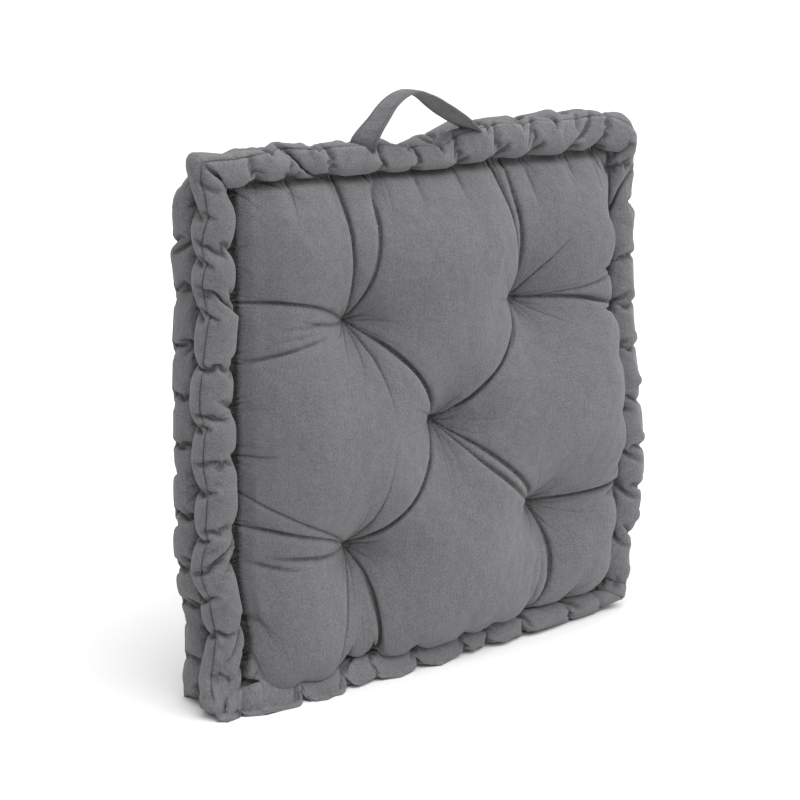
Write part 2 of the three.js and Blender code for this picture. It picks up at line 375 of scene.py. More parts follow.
def grids(cells, rings):
    """Vertex numbers of the face, in rows upwards, and of the rings, from just inside its edge outwards."""
    face = np.arange((cells + 1) ** 2).reshape(cells + 1, cells + 1)
    up = np.arange(cells + 1)
    end = np.full(cells, cells)
    start = np.zeros(cells, int)
    rows = np.concatenate([start, up[:-1], end, up[:0:-1]])
    columns = np.concatenate([up[:-1], end, up[:0:-1], start])
    edge = face[rows, columns]
    inner = face[np.clip(rows, 1, cells - 1), np.clip(columns, 1, cells - 1)]
    outer = face.size + np.arange(rings * 4 * cells).reshape(rings, 4 * cells)
    return face, np.vstack([inner, edge, outer])


def round_edge(cells):
    """Place of each ring column on the edge of a square from -1 to 1, anticlockwise from the lower left."""
    s = -1 + 2 * np.arange(cells) / cells
    one = np.ones(cells)
    return np.concatenate([s, one, -s, -one]), np.concatenate([-one, s, one, -s])


def smooth_shape(cells, rings):
    """The cover before the filling and the stitches have shaped it."""
    a = np.linspace(-1, 1, cells + 1)
    across, up = np.meshgrid(a, a)
    dome = (1 - across**4) * (1 - up**4)
    face = np.stack([VALLEY_OUT * across, -VALLEY_DEEP - DOME * dome, HALF + VALLEY_OUT * up], axis=-1)
    angle = np.linspace(ROLL_FROM, ROLL_TO, rings + 1)[1:]
    out = ROLL_AT + ROLL_RADIUS * np.sin(angle)
    deep = -ROLL_RADIUS - ROLL_RADIUS * np.cos(angle)
    out[-1] = SIDE_VALLEY_OUT
    deep[-1] = 0
    sx, sz = round_edge(cells)
    band = np.stack(
        [out[:, None] * sx, deep[:, None] + 0 * sx, HALF + out[:, None] * sz], axis=-1
    )
    return np.concatenate([face.reshape(-1, 3), band.reshape(-1, 3)])


class Cloth:
    """Half of the cover as threads between the grid's vertices, in groups that share no vertex."""

    def __init__(self, cells, rings):
        self.cells = cells
        self.rings = rings
        self.face, self.band = grids(cells, rings)
        self.step = 2 * VALLEY_OUT / cells
        self.groups = []
        thread = self.step * FACE_EXCESS
        face = self.face
        band = self.band[1:]
        self.arc = arc = ROLL_RADIUS * (ROLL_TO - ROLL_FROM) / rings
        out = arc * ROLL_EXCESS
        self.seam = rings * SEAM_RING // COARSE_RINGS
        past = np.minimum(np.arange(rings + 1), self.seam) * arc
        around = (2 * VALLEY_OUT * FACE_EXCESS + 2 * past * ROLL_EXCESS) / cells
        across = np.hypot(around[1:], out)

        def alternate(first, skip, end):
            """Numbers from first to end: skip of them, then a gap of as many, and so on."""
            numbers = (np.arange(first, end, 2 * skip)[:, None] + np.arange(skip)).ravel()
            return numbers[numbers < end]

        def ring_pairs(first, skip):
            """Pairs along the rings past the edge."""
            columns = alternate(first, skip, 4 * cells)
            a = band[1:][:, columns]
            b = band[1:][:, (columns + skip) % (4 * cells)]
            return a, b, np.broadcast_to(skip * around[1:, None], a.shape)

        def pairs(grid, first, skip, length):
            rows = alternate(first, skip, len(grid) - skip)
            a = grid[rows]
            b = grid[rows + skip]
            return a, b, np.full(a.shape, length)

        def group(kind, *parts):
            a, b, rest = (np.concatenate([np.ravel(p[k]) for p in parts]) for k in range(3))
            self.groups.append((kind, a, b, rest[:, None].astype(np.float32)))

        for odd in (0, 1):
            group("thread", pairs(face.T, odd, 1, thread), ring_pairs(odd, 1))
            group("thread", pairs(face, odd, 1, thread), pairs(band[1:], odd, 1, out))
        group("thread", (band[0], band[1], np.full(4 * cells, out)))
        for odd in (0, 1):
            corner = face[odd:-1:2, :-1], face[odd + 1 :: 2, 1:]
            other = face[odd:-1:2, 1:], face[odd + 1 :: 2, :-1]
            diagonal = thread * math.sqrt(2)
            rows = np.arange(odd, rings, 2)
            turned = np.roll(band, -1, axis=1)
            slope = np.broadcast_to(across[rows][:, None], (len(rows), 4 * cells))
            for face_pair, ring_a, ring_b in (
                (corner, band, turned),
                (other, turned, band),
            ):
                group("bias", (*face_pair, np.full(face_pair[0].shape, diagonal)))
                group("bias", (ring_a[rows], ring_b[rows + 1], slope))
        for first in (0, 2):
            group("bend", pairs(face.T, first, 2, 2 * thread), ring_pairs(first, 2))
            group("bend", pairs(face, first, 2, 2 * thread), pairs(band[1:], first, 2, 2 * out))
            group("bend", pairs(self.band[:3], first, 2, thread + out))

    def normals(self, at):
        """Each vertex's outward normal times its area, over a cell's area."""
        out = np.zeros_like(at)
        face = at[self.face]
        du = face[1:-1, 2:] - face[1:-1, :-2]
        dv = face[2:, 1:-1] - face[:-2, 1:-1]
        out[self.face[1:-1, 1:-1]] = np.cross(du, dv)
        band = at[self.band]
        along = np.roll(band, -1, axis=1) - np.roll(band, 1, axis=1)
        across = np.empty_like(band)
        across[1:-1] = band[2:] - band[:-2]
        across[-1] = 0
        out[self.band[1:]] = np.cross(across[1:], along[1:])
        return out / (4 * self.step**2)


def pull(at, stiff, a, b, rest):
    """Moves the ends of each pair towards their resting distance."""
    longer, shorter = stiff
    way = at[b] - at[a]
    length = np.sqrt(np.einsum("ij,ij->i", way, way))[:, None]
    share = 0.5 * (length - rest) / length
    way *= share * np.where(length > rest, longer, shorter)
    at[a] += way
    at[b] -= way


def stations(rng):
    """Places of the edge stitches round the cushion, in sides: those in front, and those at the side."""
    count = int(round(2 * VALLEY_OUT / STITCH_PITCH))

    def row(start):
        places = []
        for side in range(4):
            t = (np.arange(count) + start) / count
            places.extend(side + t + rng.uniform(-STITCH_UNEVEN, STITCH_UNEVEN, count) / count)
        return np.array(places)

    return row(FRONT_START), row(SIDE_START)


def on_edge(out, deep, columns, cells):
    """Points at those columns, out from the middle by out and behind the middle plane by deep."""
    sx, sz = round_edge(cells)
    out = np.broadcast_to(out, np.shape(columns))
    deep = np.broadcast_to(deep, np.shape(columns))
    return np.stack([out * sx[columns], deep, HALF + out * sz[columns]], axis=-1)


def nearest(places, cells):
    return np.round(places * cells).astype(int) % (4 * cells)


def hold(cloth, front, side):
    """Vertices that stitches hold, and where they hold them."""
    cells = cloth.cells
    rings = cloth.rings
    vertices = []
    targets = []

    def keep(numbers, points):
        vertices.append(np.ravel(numbers))
        targets.append(np.reshape(points, (-1, 3)))

    every = np.arange(4 * cells)
    keep(cloth.band[-1], on_edge(SIDE_VALLEY_OUT, 0.0, every, cells))
    keep(cloth.band[1, front], on_edge(FRONT_STITCH_OUT, -FRONT_STITCH_DEEP, front, cells))
    side_row = 1 + int(round(rings * SIDE_STITCH_SHARE))
    keep(cloth.band[side_row, side], on_edge(SIDE_STITCH_OUT, -SIDE_STITCH_DEEP, side, cells))
    shape = smooth_shape(cells, rings)
    for x, z in TUFTS.values():
        column = int(round((x / VALLEY_OUT + 1) * cells / 2))
        row = int(round(((z - HALF) / VALLEY_OUT + 1) * cells / 2))
        reach = 1 if cells > 2 * COARSE_CELLS else 0
        patch = cloth.face[row - reach : row + reach + 1, column - reach : column + reach + 1]
        points = (shape[patch] - (x, 0, z)) * TUFT_SQUEEZE + (x, 0, z)
        points[..., 1] = -TUFT_DEPTH
        keep(patch, points)
    return np.concatenate(vertices), np.concatenate(targets).astype(np.float32)


def press(cloth):
    """How hard the filling presses on each vertex: less along the folds, and more near the floor."""
    shape = smooth_shape(cloth.cells, cloth.rings)
    share = 1 + SLUMP * (0.5 - shape[:, 2:] / (2 * HALF))
    face = shape[: cloth.face.size, ::2]
    width = max(FOLD_WIDTH, FOLD_CELLS * cloth.step)
    ease = np.zeros(len(face))
    for start, end, bow, *strength in FOLDS:
        line = bowed_line(place(start), place(end), bow)[::2]
        for point, strong in zip(line, np.linspace(*strength, len(line))):
            near = np.hypot(*(face - (0, HALF) - point).T)
            ease = np.maximum(ease, strong * np.exp(-((near / width) ** 2)))
    share[: cloth.face.size, 0] -= FOLD_PULL * ease
    return share.astype(np.float32)


def move_out(points, sideways, move):
    """Moves points out from the cushion's middle, sideways or else up or down."""
    points[..., 0] += np.where(sideways, move * np.sign(points[..., 0]), 0)
    points[..., 2] += np.where(sideways, 0, move * np.sign(points[..., 2] - HALF))


def off_the_roll(points):
    """The face bulges over the roll but not into it."""
    away = np.stack([np.abs(points[:, 0]), np.abs(points[:, 2] - HALF)])
    out = np.maximum(away[0], away[1])
    from_roll = np.stack([out - ROLL_AT, points[:, 1] + ROLL_RADIUS], axis=1)
    far = np.linalg.norm(from_roll, axis=1)
    close = np.maximum(ROLL_RADIUS + ROLL_CLEAR - far, 0) / far
    points[:, 1] += from_roll[:, 1] * close
    move_out(points, away[0] > away[1], from_roll[:, 0] * close)
    return points


def in_its_place(band):
    """The roll stays outside the valley and above the floor, and its corners are round."""
    across = np.abs(band[..., 0])
    up = np.abs(band[..., 2] - HALF)
    short = np.maximum(VALLEY_OUT + WALL_CLEAR - np.maximum(across, up), 0)
    move_out(band, across > up, short)
    band[..., 2] = np.maximum(band[..., 2], FLOOR_CLEAR)
    middle = np.stack([band[..., 0], 0 * across - ROLL_RADIUS / CORNER_AT, band[..., 2] - HALF], axis=-1)
    middle[..., ::2] = np.sign(middle[..., ::2])
    middle = middle * CORNER_AT + (0, 0, HALF)
    away = band - middle
    far = np.linalg.norm(away, axis=-1)
    tip = (band[..., 0] < 0) & (band[..., 2] < HALF)
    limit = np.where(tip, TIP_RADIUS, CORNER_RADIUS)
    at_corner = (np.minimum(across, up) > CORNER_AT) & (far > limit)
    return np.where(at_corner[..., None], middle + away * (limit / far)[..., None], band)


def settle(cloth, at, front, side, level, fresh):
    """Blows the cloth up against its stitches until it rests."""
    steps, passes, pressure, bend, _ = level
    cells = cloth.cells
    front = nearest(front, cells)
    side = nearest(side, cells)
    stiff = {"thread": THREAD_STIFF, "bias": BIAS_STIFF, "bend": (0.0, bend)}
    held, targets = hold(cloth, front, side)
    started = at[held].copy()
    before = at.copy()
    edge = cloth.band[1]
    seam = 1 + cloth.seam
    belts = [(cloth.band[2:seam, front], front), (cloth.band[seam + 1 : -1, side], side)]
    belts = [(b, on_edge(ROLL_AT, -ROLL_RADIUS, c, cells).astype(np.float32)) for b, c in belts]
    share = press(cloth) * pressure
    weight = np.array([0, 0, -SAG * pressure], np.float32)
    roll = cloth.band[2:]
    face = cloth.face[1:-1, 1:-1].ravel()
    for step in range(steps):
        grown = min(1.0, step / (TIGHTENING * steps)) if fresh else 1.0
        speed = (at - before) * DRAG
        before = at.copy()
        at = at + speed + cloth.normals(at) * share + weight
        goal = started + (targets - started) * grown
        for _ in range(passes):
            for kind, a, b, rest in cloth.groups:
                pull(at, stiff[kind], a, b, rest)
            at[held] = goal
        at[edge, 1] = np.maximum(at[edge, 1], -VALLEY_DEEP - VALLEY_SLACK)
        at[face] = off_the_roll(at[face])
        at[roll] = in_its_place(at[roll])
        # Each stitch's thread is drawn tight over its half of the roll.
        for belt, middle in belts:
            around = at[belt] - middle
            far = np.linalg.norm(around, axis=-1, keepdims=True)
            at[belt] = middle + around * np.minimum(1, (ROLL_RADIUS - STITCH_TIGHT * grown) / far)
    return at


def finer(cloth, at):
    """The same cloth on a grid twice as fine."""

    def double(grid, wrap):
        if wrap:
            grid = np.concatenate([grid, grid[:1]])
        out = np.empty((2 * len(grid) - 1, *grid.shape[1:]), grid.dtype)
        out[::2] = grid
        out[1::2] = (grid[1:] + grid[:-1]) / 2
        return out[:-1] if wrap else out

    face = double(double(at[cloth.face], False).swapaxes(0, 1), False).swapaxes(0, 1)
    band = double(at[cloth.band[1:]], False)
    band = double(band.swapaxes(0, 1), True).swapaxes(0, 1)[1:]
    return np.concatenate([face.reshape(-1, 3), band.reshape(-1, 3)])


def simulate():
    """The cloth, where it comes to rest, and the places of the stitches."""
    rng = np.random.default_rng(CLOTH_SEED)
    front, side = stations(rng)
    at = smooth_shape(COARSE_CELLS, COARSE_RINGS).astype(np.float32)
    scale = 1
    levels = LEVELS
    for number, level in enumerate(levels):
        if number:
            at = finer(cloth, at)
            scale *= 2
        cloth = Cloth(COARSE_CELLS * scale, COARSE_RINGS * scale)
        at += rng.normal(0, level[-1], at.shape).astype(np.float32)
        at = settle(cloth, at, front, side, level, number == 0)
    return cloth, at, front, side


def turned(points):
    """The back half is the front half turned half way round a vertical line."""
    return points * np.array([-1, -1, 1])


def plane_of(cloth):
    """Where each vertex lies in the flat cloth, with the middle of the face as the origin."""
    cells = cloth.cells
    a = np.linspace(-VALLEY_OUT, VALLEY_OUT, cells + 1)
    sx, sz = round_edge(cells)
    out = VALLEY_OUT + cloth.arc * np.arange(1, cloth.rings + 1)[:, None]
    band = np.stack([out * sx, out * sz], axis=-1)
    return np.concatenate([np.stack(np.meshgrid(a, a), axis=-1).reshape(-1, 2), band.reshape(-1, 2)])


def bowed_line(start, end, bow):
    """Points from start to end, bowed to the left at the middle."""
    start = np.array(start, float)
    way = np.array(end, float) - start
    length = np.linalg.norm(way)
    left = np.array([-way[1], way[0]]) / length
    t = np.linspace(0, 1, max(3, int(length / LINE_STEP)))[:, None]
    return start + way * t + left * bow * np.sin(math.pi * t)


def place(spot):
    """A tuft's place in the flat cloth, or a point of the CAD front, measured from the cloth's middle."""
    x, z = TUFTS[spot] if isinstance(spot, str) else spot
    return x, z - HALF


def tuft_wrinkles(rng, crease):
    """Wrinkles that run out from each tuft."""
    for x, z in TUFTS.values():
        turn = rng.uniform(0, 2 * math.pi)
        for number in range(SPOKES):
            angle = turn + 2 * math.pi * (number + rng.uniform(*SPOKE_TURN)) / SPOKES
            length = rng.choice([rng.uniform(*SPOKE_SHORT), rng.uniform(*SPOKE_LONG)])
            way = np.array([math.cos(angle), math.sin(angle)])
            middle = np.array([x, z - HALF])
            depth = SPOKE_DEPTH * rng.uniform(*SPOKE_SHARE)
            crease(middle + SPOKE_START * way, middle + length * way, rng.uniform(*SPOKE_BOW), depth)


def edge_wrinkles(rng, crease, cloth, places, in_front):
    """Wrinkles at one row of the edge's stitches: across the roll, and in front also over the pillow."""
    edges = np.stack(round_edge(cloth.cells), axis=-1)
    roll = cloth.arc * cloth.rings
    seam = cloth.arc * cloth.seam
    for spot in nearest(places, cloth.cells):
        at = edges[spot]
        inward = np.where(np.abs(at) == 1, -at, 0)
        along = np.array([inward[1], -inward[0]])
        edge = at * VALLEY_OUT if in_front else at * (VALLEY_OUT + roll)
        for _ in range(PLEATS):
            slip = along * rng.uniform(*PLEAT_SLIP)
            lean = along * rng.uniform(*PLEAT_LEAN)
            if in_front:
                reach = inward * rng.choice([rng.uniform(*PLEAT_SHORT), rng.uniform(*PLEAT_LONG)])
                depth = PLEAT_DEPTH * rng.uniform(*PLEAT_SHARE)
                end = edge + slip + reach + lean * PLEAT_LEAN_SHARE
                crease(edge + slip, end, rng.uniform(*PLEAT_BOW), depth)
                reach = -inward * rng.uniform(*PUCKER_FRONT) * seam
            else:
                reach = inward * rng.uniform(*PUCKER_SIDE) * (roll - seam)
            depth = PUCKER_DEPTH * rng.uniform(*PUCKER_SHARE)
            start = edge + slip * PUCKER_SLIP_SHARE
            crease(start, start + reach + lean, rng.uniform(*PLEAT_BOW), depth)


def creases(cloth, front, side):
    """Each crease as its points in the flat cloth and how deep it is at each."""
    rng = np.random.default_rng(CREASE_SEED)
    made = []

    def crease(start, end, bow, depth, strength=(1.0, 0.0)):
        line = bowed_line(start, end, bow)
        made.append((line, depth * np.linspace(*strength, len(line)) ** CREASE_FADE))

    for start, end, bow, *strength in FOLDS:
        crease(place(start), place(end), bow, FOLD_DEPTH, strength)
    for start, end, bow, depth in CREASES:
        crease(place(start), place(end), bow, depth)
    tuft_wrinkles(rng, crease)
    edge_wrinkles(rng, crease, cloth, front, True)
    edge_wrinkles(rng, crease, cloth, side, False)
    return made


def furrow(plane, lines, width):
    """How deep the creases are at each point of the flat cloth."""
    flat = plane.reshape(-1, 2)
    depth = np.zeros(len(flat))
    reach = CREASE_REACH * width
    for line, deep in lines:
        low = line.min(axis=0) - reach
        high = line.max(axis=0) + reach
        close = np.flatnonzero(((flat > low) & (flat < high)).all(axis=1))
        away = np.linalg.norm(flat[close, None] - line, axis=-1)
        nearest_point = away.argmin(axis=1)
        here = deep[nearest_point] * np.exp(-((away.min(axis=1) / width) ** CREASE_EDGE))
        depth[close] = np.maximum(depth[close], here)
    return depth.reshape(plane.shape[:-1])


def unit_normals(grid):
    """Normals of a grid of points whose rows go up and whose columns go right, seen from outside."""
    normal = np.cross(np.gradient(grid, axis=1), np.gradient(grid, axis=0))
    return normal / (np.linalg.norm(normal, axis=-1, keepdims=True) + 1e-9)


def standing_out(grid, reach, mode="clip"):
    """How far each point stands out of the middle of its neighbours, reach cells away."""
    around = 0
    for axis, how in ((0, "clip"), (1, mode)):
        index = np.arange(grid.shape[axis])
        for shift in (-reach, reach):
            around = around + np.take(grid, index + shift, axis=axis, mode=how)
    return ((grid - around / 4) * unit_normals(grid)).sum(axis=-1)


def twice_as_fine(grid):
    """A grid of points with a smooth curve's middle point between each two."""
    for _ in range(2):
        before = np.concatenate([2 * grid[:1] - grid[1:2], grid[:-1]])
        after = np.concatenate([grid[1:], 2 * grid[-1:] - grid[-2:-1]])
        fine = np.empty((2 * len(grid) - 1, *grid.shape[1:]), grid.dtype)
        fine[::2] = grid
        fine[1::2] = (9 * (grid[:-1] + grid[1:]) - before[:-1] - after[1:]) / 16
        grid = fine.swapaxes(0, 1)
    return grid


def quads_of(grid, wrap=False):
    """Corners of each cell of a grid of vertex numbers, anticlockwise where rows go up and columns right."""
    if wrap:
        grid = np.concatenate([grid, grid[:, :1]], axis=1)
    corners = [grid[:-1, :-1], grid[:-1, 1:], grid[1:, 1:], grid[1:, :-1]]
    return np.stack(corners, axis=-1).reshape(-1, 4)


def corners_of_cells(fine, down, right):
    """For each cell, the point of the grid twice as fine that is so far down and right of its corner."""
    size = len(fine) - 1
    return fine[down : down + size : 2, right : right + size : 2]


def face_polygons(face, cut, first):
    """The face's cells, those in cut divided in four. New corners are numbered from first, in reading
    order, and used says where they are in the grid twice as fine. Cells beside a divided one take its
    extra corners."""
    used = np.zeros((2 * len(cut) + 1, 2 * len(cut) + 1), bool)
    for down in range(3):
        for right in range(3):
            corners_of_cells(used, down, right)[:] |= cut
    used[::2, ::2] = False
    number = np.full(used.shape, -1)
    number[::2, ::2] = face
    number[used] = first + np.arange(used.sum())
    fine = np.repeat(np.repeat(cut, 2, axis=0), 2, axis=1).ravel()
    polygons = [quads_of(number)[fine]]
    corners = [(0, 0), (0, 1), (0, 2), (1, 2), (2, 2), (2, 1), (2, 0), (1, 0)]
    around = [corners_of_cells(number, *corner) for corner in corners]
    around = np.stack(around, axis=-1).reshape(-1, 8)[~cut.ravel()]
    kinds = (around >= 0) @ (2 ** np.arange(8))
    for kind in np.unique(kinds):
        same = around[kinds == kind]
        polygons.append(same[:, same[0] >= 0])
    return polygons, used


def add_object(name, data):
    obj = bpy.data.objects.new(name, data)
    bpy.context.scene.collection.objects.link(obj)
    return obj


def smooth_mesh(name, points, polygons, uv, material, wear_and_painted_shade=None):
    """A smooth mesh from points and cloth coordinates in millimetres, and arrays of polygons' corners."""
    mesh = bpy.data.meshes.new(name)
    mesh.vertices.add(len(points))
    mesh.vertices.foreach_set("co", (np.asarray(points, float) * MM).ravel())
    corners = np.concatenate([p.ravel() for p in polygons])
    sizes = np.concatenate([np.full(len(p), p.shape[1]) for p in polygons])
    mesh.loops.add(len(corners))
    mesh.loops.foreach_set("vertex_index", corners)
    mesh.polygons.add(len(sizes))
    mesh.polygons.foreach_set("loop_start", np.cumsum(sizes) - sizes)
    mesh.polygons.foreach_set("loop_total", sizes)
    mesh.polygons.foreach_set("use_smooth", np.ones(len(sizes), bool))
    layer = mesh.uv_layers.new(name="cloth")
    layer.data.foreach_set("uv", (uv[corners] * MM).ravel())
    # Per-vertex shade: paler ridges as wear, and painted shade in hollows, creases, seams and ditches.
    if wear_and_painted_shade is not None:
        mesh.attributes.new("wear_and_painted_shade", "FLOAT", "POINT").data.foreach_set("value", wear_and_painted_shade)
    mesh.update()
    mesh.validate()
    mesh.materials.append(material)
    return add_object(name, mesh)


def smoothstep(value):
    value = np.clip(value, 0, 1)
    return value * value * (3 - 2 * value)


def rise(value, start, end):
    """From 0 at start to 1 at end, smoothly. End may be below start."""
    return smoothstep((value - start) / (end - start))


def rest_shape(points):
    """The filled cover as it rests on its foot."""
    x, y, z = np.moveaxis(np.asarray(points, float), -1, 0)
    deep = np.abs(y)
    deep = np.where(deep > CROWN_FROM, CROWN_FROM + (deep - CROWN_FROM) * CROWN_KEEP, deep)
    # The pillows hang over the roll at the foot, and swell a little to the sides.
    beyond = np.maximum(deep - np.interp(x, *HANG_FROM), 0)
    hang = np.interp(x, *HANG_SHARE) * beyond * smoothstep(1 - z / HANG_HEIGHT)
    aside = np.where(x > 0, SIDE_HANG_SHARE[1], SIDE_HANG_SHARE[0]) * beyond
    aside = aside * rise(np.abs(x), *SIDE_HANG_OUT) * rise(z, *SIDE_HANG_LOW) * rise(z, *SIDE_HANG_HIGH)
    bow = 0
    for side, size, middle, half in BOWS:
        here = size * np.exp(-(((z - middle) / half) ** 2)) * np.abs(x / HALF) ** BOW_BEND
        bow = bow + np.where(x * side > 0, here, 0)
    foot = FOOT_DROP * smoothstep(z / FOOT_HEIGHT) * rise(z, *FOOT_DROP_HIGH)
    behind = smoothstep((y + ROLL_RADIUS) / (2 * ROLL_RADIUS))
    sag = np.interp(x, *TOP_SAG_FRONT) * (1 - behind) + np.interp(x, *TOP_SAG_BACK) * behind
    sag = sag * smoothstep((z - TOP_SAG_FROM) / TOP_SAG_REACH)
    x, y, up = foot_shape(x + np.sign(x) * (bow + aside), np.sign(y) * deep, z)
    up = up - hang * smoothstep(z / HANG_FADE) - foot - sag
    return np.stack([x, y, np.maximum(up, LOWEST)], axis=-1)


def open_gap(face):
    """Lowers the pillows where they meet the left and top rolls, so that the rolls' edges show. Also gives
    the painted shadow in the ditch there."""
    x, y, z = np.moveaxis(face, -1, 0)
    keep = 1
    ditch_painted_shadow = 0
    for inside, (gap_keep, ditch_width, shade) in zip((VALLEY_OUT + x, VALLEY_OUT + HALF - z), GAPS):
        gap = gap_keep + (1 - gap_keep) * smoothstep(inside / GAP_WIDTH)
        ditch = DITCH_KEEP + (1 - DITCH_KEEP) * smoothstep(inside / ditch_width)
        keep = np.minimum(keep, gap * ditch)
        ditch_painted_shadow = np.maximum(ditch_painted_shadow, shade * smoothstep((DITCH_SHADE_REACH - inside) / DITCH_SHADE_WIDTH))
    above = np.maximum(-y - VALLEY_DEEP, 0) * (1 - keep) * smoothstep(z / GAP_HEIGHT)
    return np.stack([x, y + above, z], axis=-1), ditch_painted_shadow


def scalloped(cloth, band, front):
    """The roll with its face side swollen inwards between the stitches."""
    column = np.arange(4 * cloth.cells)
    away = np.abs(column[:, None] - nearest(front, cloth.cells))
    away = np.minimum(away, 4 * cloth.cells - away).min(axis=1) * cloth.step
    swell = 1 - np.exp(-((away / SCALLOP_REACH) ** 2))
    share = np.sin(math.pi * np.clip(np.arange(len(band)) / cloth.seam, 0, 1))
    sx, sz = (np.where(np.abs(edge) == 1, -edge, 0) for edge in round_edge(cloth.cells))
    inward = np.stack([sx, 0 * sx, sz], axis=-1)
    return band + SCALLOP * share[:, None, None] * swell[:, None] * inward


def foot_shape(x, y, z):
    """The roll at the foot, spread by the weight on it, and the corners, pushed out of their round shape."""
    y = y * (1 + np.interp(x, *FOOT_SPREAD) * smoothstep(1 - z / FOOT_SPREAD_HEIGHT))
    # Across the square corner, a circle round its middle becomes a square.
    left = np.maximum(SQUARE_CORNER[0] - x, 0)
    front = np.maximum(SQUARE_CORNER[1] - y, 0)
    round_share = np.hypot(left, front) / (np.maximum(left, front) + 1e-6)
    low, high = SQUARE_HEIGHT
    square = np.where(left * front > 0, round_share - 1, 0) * smoothstep((high - z) / (high - low))
    x = x - left * square
    y = y - front * square
    for (px, py, pz), (dx, dy, dz), reach in CORNER_PUSHES:
        near = np.exp(-((x - px) ** 2 + (y - py) ** 2 + (z - pz) ** 2) / reach**2)
        x = x + dx * near
        y = y + dy * near
        z = z + dz * near
    return x, y, z


def creased_face(cloth, at, lines):
    """The face on a grid twice as fine: its points, its flat places, its shade (paler ridges as wear,
    painted shade in hollows and in the ditch by the rolls), and the cells that need the finer grid."""
    flat = twice_as_fine(plane_of(cloth)[cloth.face])
    points, ditch_painted_shadow = open_gap(twice_as_fine(at[cloth.face].astype(float)))
    depth = furrow(flat, lines, CREASE_WIDTH)
    points -= unit_normals(points) * depth[..., None]
    # Paler ridges as wear, painted shade in hollows, and the painted shadow of the ditch by the rolls.
    shade = np.clip(sum(standing_out(points, reach) / full for reach, full in FACE_SHADE), -1, 1) - ditch_painted_shadow
    cut = np.zeros((cloth.cells, cloth.cells), bool)
    for down in range(3):
        for right in range(3):
            cut |= corners_of_cells(depth, down, right) > FINE_FROM
    cut[[0, -1]] = False
    cut[:, [0, -1]] = False
    return points, flat, shade, cut


def creased_roll(cloth, at, lines, front):
    """The roll's rings, with their puckers and the seam along the crest, and their shade: paler ridges as
    wear, and painted shade in hollows and along the seam.
    """
    band = scalloped(cloth, at[cloth.band[1:]].astype(float), front)
    depth = furrow(plane_of(cloth)[cloth.band[1:]], lines, ROLL_CREASE_WIDTH)
    band += unit_normals(band) * depth[..., None]
    reach, full = ROLL_SHADE
    shade = -standing_out(band, reach, "wrap") / full - ROLL_SHADE_SHIFT
    shade = np.clip(shade, ROLL_SHADE_LEAST, 1)
    seam = cloth.seam
    outward = -unit_normals(band)
    line = band[seam].copy()
    for offset, drawn, lift in SEAM_RINGS:
        row = seam + offset
        band[row] += (line - band[row]) * drawn + outward[row] * lift
    # Painted shade along the seam.
    shade[seam] = SEAM_SHADE
    band[-1] = at[cloth.band[-1]]
    return band, shade


def build_cover(material):
    """The two face covers and the four boxing strips."""
    cloth, at, front, side = simulate()
    lines = creases(cloth, front, side)
    fine, fine_flat, fine_shade, cut = creased_face(cloth, at, lines)
    band, band_shade = creased_roll(cloth, at, lines, front)
    shade = np.zeros(len(at))
    shade[cloth.band[1:]] = band_shade
    shade[cloth.face] = fine_shade[::2, ::2]
    at[cloth.band[2:]] = band[1:]
    at[cloth.face] = fine[::2, ::2]
    made = face_covers(cloth, at, shade, (fine, fine_flat, fine_shade, cut), material)
    made.update(boxing_strips(cloth, at, shade, material))
    return made, fine, fine_flat


def face_covers(cloth, at, shade, finer_face, material):
    """The face and its roll as far as the seam, in front, and the same turned round behind."""
    fine, fine_flat, fine_shade, cut = finer_face
    seam = cloth.seam
    last = cloth.band[seam + 1, -1] + 1
    polygons, used = face_polygons(cloth.face, cut, last)
    polygons.append(quads_of(cloth.band[1 : seam + 2], True)[:, ::-1])
    points = np.concatenate([at[:last], fine[used]])
    flat = np.concatenate([plane_of(cloth)[:last], fine_flat[used]])
    shade = np.concatenate([shade[:last], fine_shade[used]])
    made = {}
    for name, turn in (("front_cover", np.array), ("back_cover", turned)):
        made[name] = smooth_mesh(name, rest_shape(turn(points)), polygons, flat, material, shade)
    return made


def boxing_strips(cloth, at, shade, material):
    """The strip between the two seams on each edge: a half roll, the valley, and the other half roll."""
    cells = cloth.cells
    seam = cloth.seam
    half = at[cloth.band[1 + seam :]]
    half_shade = shade[cloth.band[1 + seam :]]
    rows = 2 * len(half) - 1
    made = {}
    for number, edge in enumerate(("bottom", "right", "top", "left")):
        step = np.arange(cells + 1)
        columns = (number * cells + step) % (4 * cells)
        opposite = number if edge in ("bottom", "top") else 4 - number
        mates = ((opposite + 1) * cells - step) % (4 * cells)
        strip = np.concatenate([half[:, columns], turned(half[::-1, mates])[1:]])
        strip_shade = np.concatenate([half_shade[:, columns], half_shade[::-1, mates][1:]])
        along, out = np.meshgrid(step * cloth.step, cloth.arc * np.arange(rows))
        numbers = np.arange(rows * (cells + 1)).reshape(rows, cells + 1)
        made[edge + "_boxing_cloth"] = smooth_mesh(
            edge + "_boxing_cloth",
            rest_shape(strip.reshape(-1, 3)),
            [quads_of(numbers)[:, ::-1]],
            np.stack([along, out], axis=-1).reshape(-1, 2),
            material,
            strip_shade.ravel(),
        )
    return made


